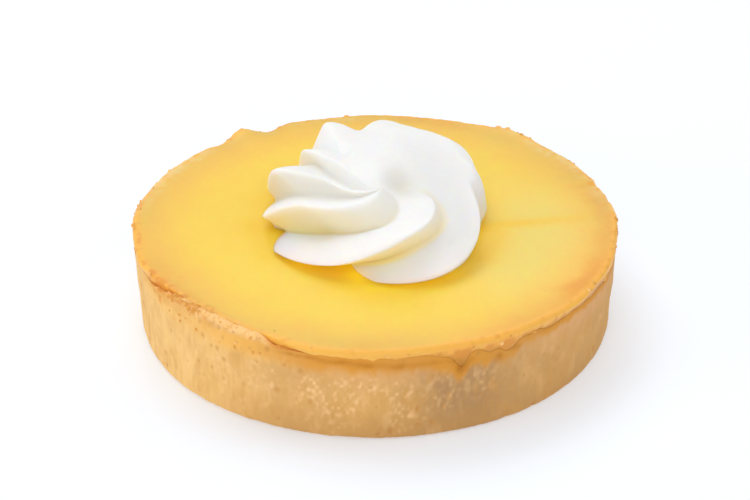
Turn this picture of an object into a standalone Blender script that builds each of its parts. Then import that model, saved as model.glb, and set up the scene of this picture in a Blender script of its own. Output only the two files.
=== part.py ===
"""Individual lemon tart: a shortcrust cup, its lemon filling with a browned lip over the rim, and a piped
rosette of whipped cream. Sizes are in millimetres and become metres in the meshes. +Z is up, the base sits on
z = 0 and the face seen in the photograph looks along -Y."""

import bpy
import numpy as np

MM = 0.001
GAP = 0.3  # clearance between neighbouring pieces

# Shortcrust cup
BASE_RADIUS = 48.1
RIM_RADIUS = 49.55
WALL_TOP = 3.6
WALL_BOTTOM = 4.4
FLOOR_THICKNESS = 4.0
FOOT_ROUNDING = 1.1
WALL_WAVE = 0.16  # slow unevenness of the wall
WALL_GRAIN = 0.10  # short vertical unevenness, stronger low on the wall

# Bare crumbly stretch of rim, where the filling stops short of the edge
BARE_FROM, BARE_TO = 203.0, 244.0
BARE_WIDTH = 1.9
BARE_RISE = 1.15

# Lemon filling
FILLING_TOP = 21.7
LIP_RADIUS = 50.05
LIP_SHOULDER = 4.5  # how far in from its edge the lip starts to round down
LIP_FALL = 0.35  # how much lower the shoulder is than the middle
LIP_THICK = 1.25
# Slow swellings of the lip: angle, half width in degrees, extra radius, extra thickness
LIP_SWELLS = (
    (300.0, 9.0, 0.20, 0.85),
    (318.0, 10.0, 0.10, 0.70),
    (338.0, 12.0, 0.00, 0.75),
    (355.0, 9.0, -0.10, 0.60),
    (192.0, 9.0, -0.15, 0.80),
    (122.0, 5.0, 0.35, -0.10),
    (112.0, 5.0, -0.25, 0.10),
    (28.0, 6.0, -0.30, 0.30),
    (60.0, 14.0, 0.10, 0.40),
    (150.0, 16.0, -0.10, 0.50),
)

# Cream rosette: ridges that start low at its edge and curl in to an off-centre swirl, each with a valley after it
ROSETTE_SEAT = FILLING_TOP + GAP
SWIRL_CENTRE = (2.0, -5.0)
SWIRL_DRIFT = (-0.8, -2.0)  # shift of the centre between the outer ridges and the top
SWIRL_HEIGHT = 13.0
FOOT_SHARE = 0.90  # radius of the foot as a share of the ridge ends
FOOT_LIMIT = 26.0
FLANK_SHARE = 0.45  # share of each ridge's width taken by its steep flank
SMOOTHING = 2  # passes that soften the valleys and the round ridges
SWIRL_SMOOTHING = 10  # passes where the ridges have faded

# One row a ridge, all about the swirl centre: angle in degrees, reach and height at its outer end, at a third
# and at two thirds of the way in, then the angle at the centre
RIDGES = (
    (170, 25.6, 2.2, 183, 18.4, 7.9, 223, 9.1, 10.9, 262),
    (195, 23.4, 0.5, 237, 20.2, 2.7, 297, 15.9, 9.9, 415),
    (265, 19.5, 0.3, 304, 22.4, 1.8, 348, 19.7, 6.0, 432),
    (386, 23.2, 2.2, 390, 22.6, 7.8, 405, 17.7, 12.2, 458),
    (409, 26.3, 2.5, 421, 24.7, 10.6, 430, 14.0, 14.2, 488),
    (442, 28.3, 2.8, 452, 26.2, 12.7, 459, 12.5, 14.4, 518),
    (480, 30.2, 4.5, 474, 29.2, 12.0, 479, 14.0, 13.9, 545),
    (486, 30.5, 3.0, 490, 26.6, 9.2, 500, 10.2, 12.8, 556),
    (507, 29.1, 2.4, 515, 24.8, 10.0, 516, 14.6, 11.0, 590),
)
# The same for the valley after each ridge
VALLEYS = (
    (174, 21.0, 0.4, 199, 10.6, 2.6, 264, 10.4, 8.0, 330),
    (237, 12.8, 0.1, 276, 12.9, 2.4, 318, 14.6, 7.0, 424),
    (370, 19.2, 0.1, 373, 19.4, 4.2, 384, 18.2, 9.0, 450),
    (391, 23.6, 1.4, 402, 24.0, 9.4, 414, 15.5, 12.8, 472),
    (425, 24.8, 2.0, 437, 24.4, 11.2, 446, 12.8, 14.2, 504),
    (462, 26.8, 2.4, 462, 25.0, 10.4, 470, 12.6, 13.6, 533),
    (483, 28.2, 2.6, 481, 26.6, 7.6, 488, 12.6, 12.6, 556),
    (489, 29.6, 2.0, 492, 21.1, 7.8, 513, 10.6, 10.4, 572),
    (511, 25.5, 1.4, 526, 18.0, 7.0, 545, 9.6, 9.8, 604),
)
# Roundness of each ridge, how its flank falls (1 steep at first, 0 even, -1 domed), how convex the face is that
# leads up to it, how soft the valley after it is
FORMS = (
    (0.1, 0.3, 0.6, 0.10),
    (0.0, 1.0, 0.6, 0.35),
    (0.0, 1.0, 0.1, 0.80),
    (0.8, -0.7, 0.5, 1.00),
    (1.0, -1.0, 0.5, 1.00),
    (1.0, -1.0, 0.5, 1.00),
    (1.0, -0.8, 0.5, 0.90),
    (0.3, 0.0, 0.4, 0.90),
    (0.2, 0.1, 0.1, 0.70),
)
# Where each ridge starts and ends to fade into the swirl, and where the valley after it does
FADES = (
    (0.90, 1.02, 0.92, 1.06),
    (0.80, 0.90, 0.74, 0.92),
    (0.50, 0.75, 0.45, 0.70),
    (0.35, 0.60, 0.25, 0.50),
    (0.24, 0.54, 0.24, 0.54),
    (0.24, 0.54, 0.32, 0.66),
    (0.36, 0.78, 0.54, 0.92),
    (0.80, 1.02, 0.86, 1.04),
    (0.80, 1.02, 0.86, 1.04),
)
# Shallow hollows: place from the middle of the tart, half width each way, depth
HOLLOWS = (
    (5.3, -5.6, 2.7, 3.8, 1.1),
)

STEPS_AROUND = 112
RIDGE_COLUMNS = 11
RIDGE_ROWS = 22
FOOT_ROWS = 2


def smooth_step(x):
    x = np.clip(x, 0.0, 1.0)
    return x * x * (3 - 2 * x)


def bump(angle, middle, half_width):
    away = (angle - middle + 180.0) % 360.0 - 180.0
    return np.exp(-((away / half_width) ** 2))


def bare_share(angle):
    inner = smooth_step((angle - BARE_FROM) / 7.0)
    return inner * (1 - smooth_step((angle - BARE_TO + 7.0) / 7.0))


def lip_radius(angle):
    radius = LIP_RADIUS + 0.10 * np.sin(np.radians(7 * angle + 40)) + 0.07 * np.sin(np.radians(17 * angle))
    for middle, half, extra, _ in LIP_SWELLS:
        radius = radius + extra * bump(angle, middle, half)
    return radius - (BARE_WIDTH + LIP_RADIUS - RIM_RADIUS) * bare_share(angle)


def lip_thickness(angle):
    thick = LIP_THICK + 0.08 * np.sin(np.radians(11 * angle)) + 0.06 * np.sin(np.radians(23 * angle + 70))
    for middle, half, _, extra in LIP_SWELLS:
        thick = thick + extra * bump(angle, middle, half)
    return thick


def lip_edge_height(angle):
    wave = 0.10 * np.sin(np.radians(5 * angle + 100)) + 0.07 * np.sin(np.radians(13 * angle))
    return FILLING_TOP - LIP_FALL + wave + 0.45 * bump(angle, 122, 5) - 0.25 * bump(angle, 112, 5)


def under_lip(angle):
    return lip_edge_height(angle) - 0.35 - lip_thickness(angle)


def closed_mesh(name, grid, colour, roughness, seat=0.0):
    """One closed body from rings of points, the first ring round the bottom and the last round the top."""
    rings, around, _ = grid.shape
    points = list(map(tuple, grid.reshape(-1, 3)))
    low = len(points)
    points.append(tuple(grid[0].mean(axis=0)))
    high = len(points)
    points.append(tuple(grid[-1].mean(axis=0)))
    faces = []
    for i in range(around):
        j = (i + 1) % around
        for k in range(rings - 1):
            faces.append((k * around + i, k * around + j, (k + 1) * around + j, (k + 1) * around + i))
        faces.append((j, i, low))
        faces.append(((rings - 1) * around + i, (rings - 1) * around + j, high))
    mesh = bpy.data.meshes.new(name)
    mesh.from_pydata([(x * MM, y * MM, z * MM) for x, y, z in points], [], faces)
    mesh.update()
    mesh.shade_smooth()
    material = bpy.data.materials.new(name)
    material.use_nodes = True
    shader = material.node_tree.nodes["Principled BSDF"]
    shader.inputs["Base Color"].default_value = (*colour, 1.0)
    shader.inputs["Roughness"].default_value = roughness
    shader.inputs["Metallic"].default_value = 0.0
    mesh.materials.append(material)
    made = bpy.data.objects.new(name, mesh)
    made.location = (0.0, 0.0, seat * MM)
    made.rotation_euler = (0.0, 0.0, 0.0)
    bpy.context.scene.collection.objects.link(made)
    return made


def rings_of(profile, angles):
    """Rings from (radius, height) pairs, each a number or one value a step round."""
    turn = np.radians(angles)
    rings = []
    for radius, height in profile:
        radius = radius + 0 * angles
        height = height + 0 * angles
        rings.append(np.stack([radius * np.cos(turn), radius * np.sin(turn), height], axis=-1))
    return np.array(rings)


def pastry_shell():
    angles = np.arange(STEPS_AROUND) * 360.0 / STEPS_AROUND
    wave = WALL_WAVE * (np.sin(np.radians(3 * angles + 20)) + 0.6 * np.sin(np.radians(8 * angles + 130)))
    grain = WALL_GRAIN * (np.sin(np.radians(19 * angles)) + 0.8 * np.sin(np.radians(31 * angles + 50)))
    seat = under_lip(angles) - GAP
    bare = bare_share(angles)
    crumbs = 0.22 * np.sin(np.radians(37 * angles)) + 0.16 * np.sin(np.radians(53 * angles + 80))
    outer = RIM_RADIUS + 0.6 * wave
    room = outer - 0.75 - GAP - lip_radius(angles)
    clear = smooth_step((np.minimum(room, np.minimum(np.roll(room, 1), np.roll(room, -1))) - 0.02) / 0.3)
    rise = seat + bare * clear * (BARE_RISE + LIP_THICK - 0.9 + crumbs)
    step = np.minimum(lip_radius(angles) + GAP, outer - 0.75)
    inner_top = RIM_RADIUS - WALL_TOP
    inner_low = BASE_RADIUS - WALL_BOTTOM
    profile = [
        (BASE_RADIUS - FOOT_ROUNDING, 0.0),
        (BASE_RADIUS - 0.25 + 0.4 * wave, 0.35),
        (BASE_RADIUS + 0.15 + wave, FOOT_ROUNDING + 0.3),
        (BASE_RADIUS + 0.50 + wave + grain, 6.0),
        (BASE_RADIUS + 0.85 + wave - grain, 11.0),
        (RIM_RADIUS - 0.20 + wave + 0.5 * grain, 15.5),
        (outer, rise - 0.9),
        (outer - 0.25, rise - 0.2),
        (outer - 0.60, rise),
        (step, rise - 0.05),
        (step - 0.05, seat),
        (inner_top, seat),
        (inner_top - 0.25, seat - 0.6),
        (inner_low + 0.2, FLOOR_THICKNESS + 2.2),
        (inner_low - 0.6, FLOOR_THICKNESS + 0.6),
        (inner_low - 2.2, FLOOR_THICKNESS),
    ]
    closed_mesh("pastry_shell", rings_of(profile, angles), (0.72, 0.42, 0.17), 0.75)


def lemon_filling():
    angles = np.arange(STEPS_AROUND) * 360.0 / STEPS_AROUND
    under = under_lip(angles)
    edge = lip_edge_height(angles)
    radius = lip_radius(angles)
    inner_top = RIM_RADIUS - WALL_TOP - GAP
    inner_low = BASE_RADIUS - WALL_BOTTOM - GAP
    profile = [
        (inner_low - 2.4, FLOOR_THICKNESS + GAP),
        (inner_low - 0.8, FLOOR_THICKNESS + GAP + 0.7),
        (inner_low + 0.1, FLOOR_THICKNESS + 2.4),
        (inner_top - 0.35, under - 0.95),
        (inner_top, under),
        (radius - 0.45, under),
        (radius - 0.08, under + 0.30),
        (radius, edge - 0.75),
        (radius - 0.25, edge - 0.22),
        (radius - 0.90, edge + 0.05),
        (radius - LIP_SHOULDER, FILLING_TOP - 0.10 + 0.2 * (edge - FILLING_TOP + LIP_FALL)),
        (radius - 11.0, FILLING_TOP),
        (26.0, FILLING_TOP),
    ]
    closed_mesh("lemon_filling", rings_of(profile, angles), (0.93, 0.62, 0.08), 0.35)


def along(values, t):
    """Smooth curve without overshoot through four values at 0, 1/3, 2/3 and 1."""
    v = np.asarray(values, float)
    d = np.diff(v)
    slope = np.zeros(4)
    for i in (1, 2):
        if d[i - 1] * d[i] > 0:
            slope[i] = 2 * d[i - 1] * d[i] / (d[i - 1] + d[i])
    slope[0] = 1.5 * d[0] - 0.5 * slope[1]
    slope[3] = 1.5 * d[2] - 0.5 * slope[2]
    x = np.clip(t, 0, 1) * 3
    i = np.minimum(x.astype(int), 2)
    f = x - i
    start = (2 * f**3 - 3 * f**2 + 1) * v[i] + (f**3 - 2 * f**2 + f) * slope[i]
    return start + (3 * f**2 - 2 * f**3) * v[i + 1] + (f**3 - f**2) * slope[i + 1]


def ridge_curve(row, t, turn=0.0):
    """Angle, reach and height along a ridge or a valley."""
    angle = along((row[0], row[3], row[6], row[9]), t) + turn
    reach = along((row[1], row[4], row[7], 0.0), t)
    height = along((row[2], row[5], row[8], SWIRL_HEIGHT), t)
    return np.array([angle, reach, height])


def across(ridge_values, valley_values, columns):
    """One value a column, from those at the ridges and at the valleys after them."""
    count = len(ridge_values)
    marks = np.append(np.arange(count)[:, None] + [0, FLANK_SHARE], count)
    values = np.append(np.stack([ridge_values, valley_values], axis=1), ridge_values[0])
    return np.interp(np.arange(count * columns) / columns, marks, values)[:, None]


def rosette_lines(columns, t):
    """Angle, reach and height by column round the rosette and by row from its edge inwards."""
    count = len(RIDGES)
    flank = round(columns * FLANK_SHARE)
    face = columns - flank
    lines = []
    for k in range(count):
        crest = ridge_curve(RIDGES[k], t)
        valley = ridge_curve(VALLEYS[k], t)
        following = ridge_curve(RIDGES[(k + 1) % count], t, 360.0 if k == count - 1 else 0.0)
        steep = max(FORMS[k][1], 0)
        domed = max(-FORMS[k][1], 0)
        bow = max(FORMS[(k + 1) % count][0], FORMS[(k + 1) % count][2])
        for f in np.arange(flank) / flank:
            down = f + steep * (np.sin(f * np.pi / 2) - f) + domed * (1 - np.cos(f * np.pi / 2) - f)
            lines.append(crest + (valley - crest) * np.array([f, down, down])[:, None])
        for f in np.arange(face) / face:
            up = f + bow * (np.sin(f * np.pi / 2) - f)
            lines.append(valley + (following - valley) * np.array([f, up, up])[:, None])
    return np.moveaxis(np.array(lines), 1, 0)


def rosette_grid(columns, rows, foot_rows):
    """Points by column round the rosette and by row from the foot to the swirl centre."""
    t = np.linspace(0, 1, rows + 1)[:-1] ** 0.9
    angle, reach, height = rosette_lines(columns, t)
    f = np.linspace(1, 0, foot_rows + 1)[:-1]
    end = reach[:, :1]
    foot = end + (np.minimum(end * FOOT_SHARE, FOOT_LIMIT) - end) * np.sin(f * np.pi / 2)
    angle = np.radians(np.concatenate([np.repeat(angle[:, :1], foot_rows, axis=1), angle], axis=1))
    reach = np.concatenate([foot, reach], axis=1)
    height = np.concatenate([height[:, :1] * (1 - f), height], axis=1)
    inward = np.concatenate([np.zeros(foot_rows), t])
    drift = smooth_step((inward - 0.5) / 0.5)
    x = SWIRL_CENTRE[0] + SWIRL_DRIFT[0] * drift + reach * np.cos(angle)
    y = SWIRL_CENTRE[1] + SWIRL_DRIFT[1] * drift + reach * np.sin(angle)
    grid = np.stack([x, y, height], axis=-1)

    # the ridges fade into one dome where they run in to the swirl
    fades = np.array(FADES)
    start = across(fades[:, 0], fades[:, 2], columns)
    end = across(fades[:, 1], fades[:, 3], columns)
    faded = smooth_step((inward[None, :] - start) / (end - start))
    x, y = (x - SWIRL_CENTRE[0]) / 20, (y - SWIRL_CENTRE[1]) / 20
    terms = np.stack([x**i * y**j for i in range(5) for j in range(5 - i)], axis=-1)
    inner = np.broadcast_to(inward > 0.45, x.shape)
    dome = terms @ np.linalg.lstsq(terms[inner], grid[inner][:, 2], rcond=None)[0]
    grid[..., 2] += (dome - grid[..., 2]) * faded

    forms = np.array(FORMS)
    soft = across(0.6 * forms[:, 0], forms[:, 3], columns)
    blend = smooth_step((faded - 0.2) / 0.8)
    for i in range(SWIRL_SMOOTHING):
        weight = np.maximum(soft * (i < SMOOTHING), blend)[..., None]
        between = 0.5 * np.roll(grid, 1, axis=0) + 0.5 * np.roll(grid, -1, axis=0)
        grid = grid + 0.5 * weight * (between - grid)
    for x, y, half_x, half_y, depth in HOLLOWS:
        away = ((grid[..., 0] - x) / half_x) ** 2 + ((grid[..., 1] - y) / half_y) ** 2
        grid[..., 2] -= depth * np.exp(-away)
    return grid


def cream_rosette():
    grid = rosette_grid(RIDGE_COLUMNS, RIDGE_ROWS, FOOT_ROWS)
    closed_mesh("cream_rosette", np.swapaxes(grid, 0, 1), (0.90, 0.88, 0.82), 0.45, ROSETTE_SEAT)


def main():
    for old in list(bpy.data.objects):
        bpy.data.objects.remove(old, do_unlink=True)
    pastry_shell()
    lemon_filling()
    cream_rosette()


main()
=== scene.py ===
# Lemon tart: baked shell, set filling with a browned lip, piped cream, crumbs, and the studio round them
import math
import bmesh
import bpy
import numpy as np
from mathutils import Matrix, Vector


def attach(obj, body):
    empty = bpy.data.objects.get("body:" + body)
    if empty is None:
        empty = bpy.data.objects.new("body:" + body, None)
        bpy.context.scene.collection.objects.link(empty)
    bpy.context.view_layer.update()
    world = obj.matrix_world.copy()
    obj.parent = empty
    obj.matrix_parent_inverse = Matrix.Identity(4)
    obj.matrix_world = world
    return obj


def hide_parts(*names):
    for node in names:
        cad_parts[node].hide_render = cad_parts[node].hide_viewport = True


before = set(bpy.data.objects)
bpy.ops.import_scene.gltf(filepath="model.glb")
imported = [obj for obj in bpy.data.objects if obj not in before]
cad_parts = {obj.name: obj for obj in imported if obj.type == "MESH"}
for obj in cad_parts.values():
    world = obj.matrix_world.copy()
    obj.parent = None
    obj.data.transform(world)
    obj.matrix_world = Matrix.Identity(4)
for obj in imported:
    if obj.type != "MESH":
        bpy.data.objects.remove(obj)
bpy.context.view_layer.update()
mm = 0.001
print("frame loaded:", ", ".join(sorted(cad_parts)))


# Small curve and noise tools. Angles are in degrees round the tart, lengths in millimetres.
def smoothStep(x):
    x = np.clip(x, 0.0, 1.0)
    return x * x * (3 - 2 * x)


def rampUp(x, start, end):
    return smoothStep((x - start) / (end - start))


def angleFrom(angle, middle):
    # how far an angle is from another one, from -180 to 180
    return (angle - middle + 180.0) % 360.0 - 180.0


def swelling(angle, middle, halfWidth):
    # 1 at the middle angle, fading to 0 on both sides
    return np.exp(-((angleFrom(angle, middle) / halfWidth) ** 2))


def allSwellings(angle, rows):
    # rows of angle, half width and strength, added up
    return sum(strength * swelling(angle, middle, half) for middle, half, strength in rows)


def wavy(value, angle, rows):
    # a value with waves added: rows of how many go round, phase and height
    for count, phase, high in rows:
        value = value + high * np.sin(np.radians(count * angle + phase))
    return value


def ovalPatch(grid, x, y, halfX, halfY, turn=0.0):
    # 1 in the middle of an oval seen from above, fading to 0 round it
    c, s = math.cos(math.radians(turn)), math.sin(math.radians(turn))
    dx, dy = grid[..., 0] - x, grid[..., 1] - y
    return np.exp(-(((dx * c + dy * s) / halfX) ** 2) - ((-dx * s + dy * c) / halfY) ** 2)


def cellHash(cell, seed):
    # a number from 0 to 1 for each cell of space, mixed from its place and the seed
    h = cell[..., 0] * 73856093 ^ cell[..., 1] * 19349663 ^ cell[..., 2] * 83492791
    h = h ^ (seed * 26544357 + 12345)
    h = (h ^ (h >> 13)) * 1274126177 & 0x7FFFFFFF
    h = (h ^ (h >> 15)) * 69069 & 0x7FFFFFFF
    return ((h ^ (h >> 11)) & 0xFFFF) / 65535.0


def softNoise(points, size, seed, upward=1.0):
    # smooth noise from -1 to 1 with lumps about this size, drawn out in height where upward is below 1
    place = points * [1, 1, upward] / size
    cell = np.floor(place).astype(np.int64)
    inside = place - cell
    inside = inside * inside * (3 - 2 * inside)
    total = np.zeros(points.shape[:-1])
    for corner in range(8):
        step = np.array([corner & 1, corner >> 1 & 1, corner >> 2 & 1])
        weight = np.prod(np.where(step == 1, inside, 1 - inside), axis=-1)
        total = total + weight * cellHash(cell + step, seed)
    return total * 2 - 1


def layeredNoise(points, size, seed, upward=1.0):
    # three soft noises, each half as large and half as strong as the one before
    total = 0
    for layer in range(3):
        scale = 0.5**layer
        total = total + scale * softNoise(points, size * scale, seed + 17 * layer, upward)
    return total / 1.6


def pitField(points, spacing, share, seed):
    # round spots scattered over the surface: 1 in the middle of a spot, 0 outside
    place = points / spacing
    cell = np.floor(place).astype(np.int64)
    best = np.zeros(points.shape[:-1])
    for corner in range(27):
        step = np.array([corner % 3 - 1, corner // 3 % 3 - 1, corner // 9 - 1])
        here = cell + step
        spot = np.stack([cellHash(here, seed + k) for k in (1, 2, 3)], axis=-1)
        size = 0.16 + 0.34 * cellHash(here, seed + 4)
        away = np.linalg.norm(place - here - spot, axis=-1)
        kept = cellHash(here, seed + 5) < share
        best = np.maximum(best, kept * np.clip(1 - away / size, 0, 1))
    return best


def gentleSlopes(rate):
    # slopes at the inner points of a curve, level at its highs and lows so that it never overshoots
    product = rate[:-1] * rate[1:]
    total = np.where(product > 0, rate[:-1] + rate[1:], 1)
    return np.where(product > 0, 2 * product / total, 0)


def smoothBetween(f, start, end, startSlope, endSlope, gap=1.0):
    # the point at share f of a smooth curve between two points
    first = (2 * f**3 - 3 * f**2 + 1) * start + (f**3 - 2 * f**2 + f) * gap * startSlope
    return first + (3 * f**2 - 2 * f**3) * end + (f**3 - f**2) * gap * endSlope


def roundedProfile(profile, steps, angles):
    # smooth curve through (radius, height) pairs, each with one value for every angle round the tart
    points = np.array([np.stack([r + 0 * angles, z + 0 * angles]) for r, z in profile])
    gap = np.linalg.norm(np.diff(points, axis=0), axis=1).mean(axis=1)
    gap = np.maximum(gap, 0.05)[:, None, None]
    rate = np.diff(points, axis=0) / gap
    slope = np.concatenate([rate[:1], gentleSlopes(rate), rate[-1:]])
    rows = []
    for k, count in enumerate(steps):
        for f in np.arange(count) / count:
            rows.append(smoothBetween(f, points[k], points[k + 1], slope[k], slope[k + 1], gap[k]))
    rows.append(points[-1])
    return np.array(rows)


def evenAngles(count):
    return np.arange(count) * 360.0 / count


def turnedSurface(profile, steps, angles):
    # radius, height, place and outward direction of every point of a turned body, ring by ring
    rows = roundedProfile(profile, steps, angles)
    away, height = rows[:, 0], rows[:, 1]
    turn = np.radians(angles)
    grid = np.stack([away * np.cos(turn), away * np.sin(turn), height], axis=-1)
    across = np.roll(grid, -1, axis=1) - np.roll(grid, 1, axis=1)
    normal = np.cross(across, np.gradient(grid, axis=0))
    return away, height, grid, normal / np.maximum(np.linalg.norm(normal, axis=-1, keepdims=True), 1e-9)


def linked(name, data):
    made = bpy.data.objects.new(name, data)
    bpy.context.scene.collection.objects.link(made)
    return made


def paintMesh(mesh, label, values):
    # one value at each point, which the material reads by this label
    layer = mesh.attributes.new(label, "FLOAT", "POINT")
    layer.data.foreach_set("value", values.astype(np.float32))


def ringObject(name, grid, paints):
    # one closed body from rings of points, with values for the material at each point
    rings, around, _ = grid.shape
    ends = np.array([grid[0].mean(axis=0), grid[-1].mean(axis=0)])
    points = np.concatenate([grid.reshape(-1, 3), ends]) * mm
    i = np.arange(around)
    j = (i + 1) % around
    faces = []
    for k in range(rings - 1):
        here, above = k * around, (k + 1) * around
        faces.append(np.stack([here + i, here + j, above + j, above + i], axis=1))
    quads = np.concatenate(faces).tolist()
    lastRing, lowEnd, highEnd = (rings - 1) * around, rings * around, rings * around + 1
    caps = np.stack([j, i, np.full(around, lowEnd)], axis=1).tolist()
    caps += np.stack([lastRing + i, lastRing + j, np.full(around, highEnd)], axis=1).tolist()
    mesh = bpy.data.meshes.new(name)
    mesh.from_pydata(points.tolist(), [], quads + caps)
    mesh.update()
    mesh.shade_smooth()
    for label, values in paints.items():
        paintMesh(mesh, label, np.concatenate([values.reshape(-1), [values[0].mean(), values[-1].mean()]]))
    return linked(name, mesh)


def keepPiece(piece, material, node=None):
    piece.data.materials.clear()
    piece.data.materials.append(material)
    if node:
        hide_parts(node)
    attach(piece, "root")


# Lemon filling: its surface reaches the edge and ends in a thin browned lip
filling = {
    "columns": 960,
    "top": 21.7,
    "lipRadius": 50.05,
    "lipThick": 1.25,
    "lipRounding": 0.35,  # how far its full thickness lies below the edge
    "lipFall": 0.35,  # how far the edge lies below the top
    "lipShoulder": 4.5,  # width of the slope from the top down to the edge
    "lipTuck": 0.35,  # how far its foot goes in where the rim is bare
    "lipLeast": 0.1,  # the least that it stands out from its foot
    # waves of the edge: how many go round, phase, height
    "radiusWaves": ((7, 40, 0.1), (17, 0, 0.07)),
    "thickWaves": ((11, 0, 0.08), (23, 70, 0.06)),
    "heightWaves": ((5, 100, 0.1), (13, 0, 0.07)),
    # angle, half width, extra radius, extra thickness
    "swells": (
        (300, 9, 0.2, 0.85), (318, 10, 0.1, 1.05), (338, 12, 0, 1.1), (355, 9, -0.25, 0.6),
        (14, 9, 0.25, 0), (189, 9, -0.3, 0.8), (169, 7, 0.25, 0), (125, 3.2, 0.75, 0.3),
        (117.5, 3.6, -0.8, 0.1), (131.5, 3, -0.35, 0), (54, 8, 0.75, 0.4), (37, 9, 0.4, 0.3),
        (150, 16, -0.1, 0.5),
    ),
    # angle, half width, how much higher or lower the edge is
    "rises": (
        (125, 3.2, 0.95), (117.5, 3.4, -0.75), (131.5, 3, -0.3), (54, 7, 0.85), (36, 9, 0.5),
        (24, 2.5, 0.35), (14.2, 2, -0.35), (22, 1.2, -0.4),
    ),
    # where the filling stops short and the rim is bare: both ends, the angle each takes to fade, the width
    "bareFrom": 194.0,
    "bareTo": 260.0,
    "bareFade": 23.0,
    "bareWidth": 1.9,
    "overhang": ((264, 15, 0.3),),  # angle, half width, how far the lip stands out over the wall
    "film": 0.02,  # how far it stands out where it is baked on to the wall
    # places where it ran further down before it set: angle, half width, drop, sharpness
    "drips": (
        (290.2, 1.9, 3.3, 1.8), (286.8, 3.4, 1.2, 2), (297.3, 1.7, 1.2, 2.2), (302.2, 2.5, 1.7, 2.6),
        (275, 1.1, 0.5, 2), (269.5, 0.8, 0.45, 2), (314.5, 1.6, 0.35, 2), (341, 2.4, 0.6, 2),
        (186, 3, 0.5, 2), (72, 1.6, 1.2, 1.6), (131, 2.2, 0.9, 2), (20, 1.8, 1, 1.6),
    ),
    "ragged": 0.26,  # how uneven the lower side of the lip is
    "raggedSize": 1.5,
    "innerRing": 26.0,  # radii of two of the rings that the flat top is made of
    "middleRing": 4.0,
}

# Pastry shell: its wall carries the filling, so the shapes of both are worked out together
shell = {
    "columns": 960,
    "baseRadius": 48.1,
    "rimRadius": 49.55,
    "wallTop": 3.6,
    "wallBottom": 4.4,
    "floorThickness": 4.0,
    "footRounding": 1.1,
    "bareRise": 1.15,  # with the lip's thickness, how far the bare rim stands above its step
    "gap": 0.3,
    "seam": 0.05,  # what is left between the lip and the shell once dressed
    "stepDepth": 0.75,  # how deep the seat is cut in behind the rim
    # slow waves and finer ones of the wall: how many go round, phase, share of the depth
    "waveDepth": 0.16,
    "waves": ((3, 20, 1.0), (8, 130, 0.6)),
    "grainDepth": 0.1,
    "grainWaves": ((19, 0, 1.0), (31, 50, 0.8)),
    "topWave": 0.6,  # how much of the slow waves the rim has
    # depth of the relief of the wall
    "streakDepth": 0.035,
    "crumbDepth": 0.06,
    "lumpDepth": 0.1,
    "pitDepth": 0.28,
    "rimLumpDepth": 0.32,
    "rimLumps": (4.5, 0.5),  # how far below the bare rim its lumps start and where they are in full
}


def bareShare(angle):
    fade = filling["bareFade"]
    start = smoothStep((angle - filling["bareFrom"]) / fade)
    return start * (1 - smoothStep((angle - filling["bareTo"] + fade) / fade))


def lipRadius(angle):
    radius = wavy(filling["lipRadius"], angle, filling["radiusWaves"])
    for middle, half, extra, _ in filling["swells"]:
        radius = radius + extra * swelling(angle, middle, half)
    inset = filling["bareWidth"] + filling["lipRadius"] - shell["rimRadius"]
    return radius - inset * bareShare(angle)


def lipThickness(angle):
    thick = wavy(filling["lipThick"], angle, filling["thickWaves"])
    for middle, half, _, extra in filling["swells"]:
        thick = thick + extra * swelling(angle, middle, half)
    return thick


def lipEdgeHeight(angle):
    wave = wavy(0, angle, filling["heightWaves"])
    return filling["top"] - filling["lipFall"] + wave + allSwellings(angle, filling["rises"])


def dripDrop(angle):
    drop = 0
    for middle, half, depth, sharpness in filling["drips"]:
        drop = drop + depth * np.exp(-((np.abs(angleFrom(angle, middle)) / half) ** sharpness))
    return drop


def lipOverhang(angle):
    return filling["film"] + allSwellings(angle, filling["overhang"])


def underLip(angle):
    # height of the lower side of the lip, ragged and lower where the filling ran down
    turn = np.radians(angle)
    place = np.stack([50 * np.cos(turn), 50 * np.sin(turn), 0 * turn], axis=-1)
    rough = filling["ragged"] * layeredNoise(place, filling["raggedSize"], seed=91)
    level = lipEdgeHeight(angle) - filling["lipRounding"] - lipThickness(angle)
    return level - dripDrop(angle) * (1 - bareShare(angle)) + rough


def wallWave(angle):
    return shell["waveDepth"] * wavy(0, angle, shell["waves"])


def wallTopRadius(angle):
    return shell["rimRadius"] + shell["topWave"] * wallWave(angle)


# Brown marks where juice ran out under the lip and caught: angle, half width, height, half height, strength
burntMarks = (
    (290.2, 1.7, 15.7, 1.8, 0.85), (288, 1.6, 17.6, 0.7, 0.35), (292.6, 1.2, 17.1, 0.6, 0.3),
    (299.8, 1.2, 15.8, 1.1, 0.7), (304, 1.6, 17.1, 0.7, 0.45), (275.5, 4, 17.6, 0.8, 0.5),
    (283, 3, 17.7, 0.7, 0.35), (252, 5, 18.9, 0.5, 0.5), (261, 5, 18.5, 0.6, 0.6),
    (268, 3.5, 18, 0.7, 0.5), (315, 5, 18.4, 0.6, 0.4), (326, 6, 19.2, 0.7, 0.6),
    (338, 7, 18.9, 0.7, 0.6), (229, 5, 20.4, 0.7, 0.35),
)


def burntShare(grid, angles, height):
    share = 0
    for middle, half, level, halfLevel, strength in burntMarks:
        upAndDown = np.exp(-(((height - level) / halfLevel) ** 2))
        share = share + strength * swelling(angles, middle, half) * upAndDown
    return np.clip(share * (1 + 0.9 * layeredNoise(grid, size=1.3, seed=95, upward=0.6)), 0, 1)


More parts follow.
